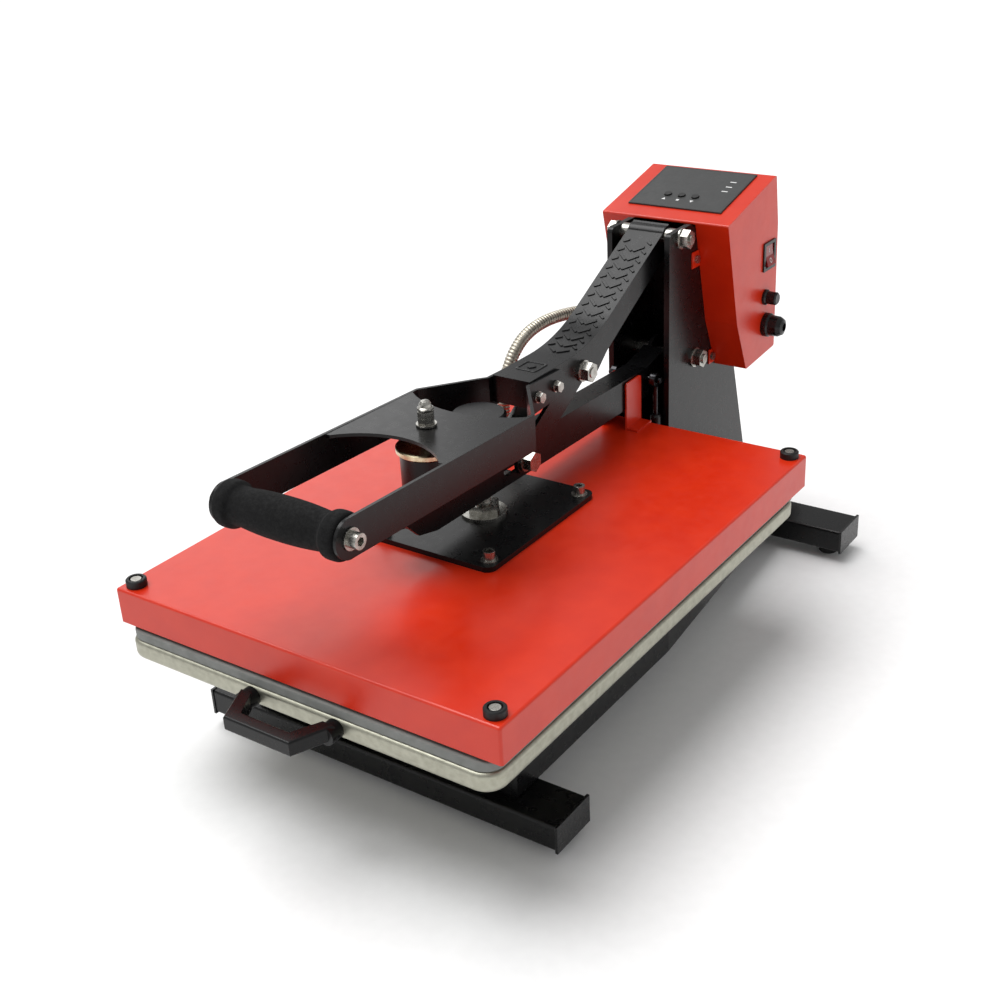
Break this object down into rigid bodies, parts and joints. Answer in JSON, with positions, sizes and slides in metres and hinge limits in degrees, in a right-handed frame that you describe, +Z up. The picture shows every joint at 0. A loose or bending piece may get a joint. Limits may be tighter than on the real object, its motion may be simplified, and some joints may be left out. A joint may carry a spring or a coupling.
{
  "type": "clamshell heat press",
  "caption": "Clamshell heat press: a lever and toggle links close a heated red head on a padded platen that pulls out as a drawer, with a control box on the tower.",
  "frame": {"origin": "on the table, below the middle of the machine's bounding box", "axes": "+Z up, -Y towards the user and the grip, +X to the user's right, the side of the power switch"},
  "size_m": [0.4, 0.783, 0.4061],
  "materials": {
    "red_paint": "fine-textured powder coat",
    "black_paint": "semi-gloss powder coat",
    "zinc_steel": "bright zinc plate",
    "black_nitride": "black nitrided",
    "yellow_zinc": "yellow zinc plate",
    "cast_aluminium": "machined casting",
    "silicone": "matte silicone sponge",
    "foam": "matte foam",
    "black_rubber": "matte",
    "black_plastic": "moulded",
    "overlay": "fine-grained overlay film",
    "key_plastic": "satin",
    "red_plastic": "gloss",
    "insulation": "glass wool",
    "circuit_board": "solder mask",
    "transformer": "varnished",
    "conduit_metal": "galvanised spiral"
  },
  "bodies": {
    "base": {"cross_beams": "black_paint", "beam_end_caps": "black_plastic", "feet": "black_rubber", "side_members": "black_paint", "tower_base_plate": "black_paint", "tower_plates": "black_paint", "tower_back_panel": "black_paint", "tower_pivot_bolts": "zinc_steel", "pivot_spacers": "zinc_steel", "control_box": "red_paint", "control_box_back": "red_paint", "box_screws": "zinc_steel", "console_panel": "overlay", "switch_frame": "black_plastic", "cable_gland": "black_plastic", "control_board": "circuit_board", "transformer": "transformer", "strut_base_pins": "zinc_steel", "outer_rails": "zinc_steel", "conduit": "conduit_metal", "conduit_box_fitting": "conduit_metal"},
    "lever": {"lever_channel": "black_paint", "handle_frame": "black_paint", "grip_tube": "zinc_steel", "grip_foam": "foam", "grip_bolts": "zinc_steel", "ear_bolts": "zinc_steel", "link_pivot_bolt": "zinc_steel", "armature_disc": "yellow_zinc", "armature_stud": "zinc_steel"},
    "link": {"link_bars": "black_paint", "link_slot_pin": "zinc_steel"},
    "arm": {"press_arm": "black_paint", "spindle_nut": "zinc_steel", "electromagnet": "black_paint", "strut_top_pin": "black_nitride"},
    "head": {"head_cover": "red_paint", "insulation_pad": "insulation", "heating_plate": "cast_aluminium", "mount_plate": "black_paint", "head_bolts": "zinc_steel", "corner_caps": "black_rubber", "guide_tabs": "red_paint", "thrust_collar": "zinc_steel", "conduit_cover_fitting": "conduit_metal"},
    "pressure_knob": {"spindle": "zinc_steel", "pressure_knob": "black_paint"},
    "drawer": {"lower_platen": "cast_aluminium", "silicone_pad": "silicone", "drawer_carriage": "zinc_steel", "inner_rails": "zinc_steel", "drawer_handle": "black_paint"},
    "middle_rails": {"middle_rails": "zinc_steel"},
    "strut_barrels": {"strut_barrels": "black_plastic"},
    "strut_rods": {"strut_rods": "black_nitride"},
    "switch_rocker": {"switch_rocker": "red_plastic"},
    "fuse_cap": {"fuse_cap": "black_plastic"},
    "button_up": {"button_up": "key_plastic"},
    "button_set": {"button_set": "key_plastic"},
    "button_down": {"button_down": "key_plastic"}
  },
  "joints": [
    {"name": "lever_pivot", "type": "hinge", "parent": "base", "child": "lever", "pos_m": [0, 0.2285, 0.37], "axis": [-1, 0, 0], "range_deg": [0, 50]},
    {"name": "arm_pivot", "type": "hinge", "parent": "base", "child": "arm", "pos_m": [0, 0.2605, 0.233], "axis": [-1, 0, 0], "range_deg": [0, 25.5], "deforming": ["conduit"]},
    {"name": "link_pivot", "type": "hinge", "parent": "lever", "child": "link", "pos_m": [0, 0.0625, 0.2825], "axis": [1, 0, 0], "range_deg": [0, 66]},
    {"name": "knob_turn", "type": "hinge", "parent": "head", "child": "pressure_knob", "pos_m": [0, -0.0805, 0.27], "axis": [0, 0, 1], "range_deg": [0, 1260]},
    {"name": "head_lift", "type": "slide", "parent": "arm", "child": "head", "axis": [0, 0, 1], "range_m": [0, 0.0071]},
    {"name": "drawer_slide", "type": "slide", "parent": "base", "child": "drawer", "axis": [0, -1, 0], "range_m": [0, 0.3]},
    {"name": "middle_rail_slide", "type": "slide", "parent": "base", "child": "middle_rails", "axis": [0, -1, 0], "range_m": [0, 0.151]},
    {"name": "strut_swing", "type": "hinge", "parent": "base", "child": "strut_barrels", "pos_m": [0, 0.1995, 0.082], "axis": [-1, 0, 0], "range_deg": [0, 1.2]},
    {"name": "strut_extend", "type": "slide", "parent": "strut_barrels", "child": "strut_rods", "axis": [0, 0, 1], "range_m": [0, 0.0275]},
    {"name": "power_rocker", "type": "hinge", "parent": "base", "child": "switch_rocker", "pos_m": [0.0705, 0.3575, 0.323], "axis": [0, 1, 0], "range_deg": [0, 14]},
    {"name": "fuse_cap_turn", "type": "hinge", "parent": "base", "child": "fuse_cap", "pos_m": [0.08, 0.3515, 0.278], "axis": [1, 0, 0], "range_deg": [0, 90]},
    {"name": "button_up_press", "type": "slide", "parent": "base", "child": "button_up", "axis": [0, 0.2344, -0.9722], "range_m": [0, 0.0006], "stiffness_N_per_m": 800},
    {"name": "button_set_press", "type": "slide", "parent": "base", "child": "button_set", "axis": [0, 0.2344, -0.9722], "range_m": [0, 0.0006], "stiffness_N_per_m": 800},
    {"name": "button_down_press", "type": "slide", "parent": "base", "child": "button_down", "axis": [0, 0.2344, -0.9722], "range_m": [0, 0.0006], "stiffness_N_per_m": 800}
  ],
  "couplings": [
    {"joint": "arm_pivot", "follows": "lever_pivot", "ratio": 0.5},
    {"joint": "link_pivot", "follows": "lever_pivot", "ratio": 1.31},
    {"joint": "head_lift", "follows": "knob_turn", "m_per_rad": 0.00031831},
    {"joint": "middle_rail_slide", "follows": "drawer_slide", "ratio": 0.5},
    {"joint": "strut_swing", "follows": "lever_pivot", "ratio": 0.02242},
    {"joint": "strut_extend", "follows": "lever_pivot", "m_per_rad": 0.031146}
  ]
}
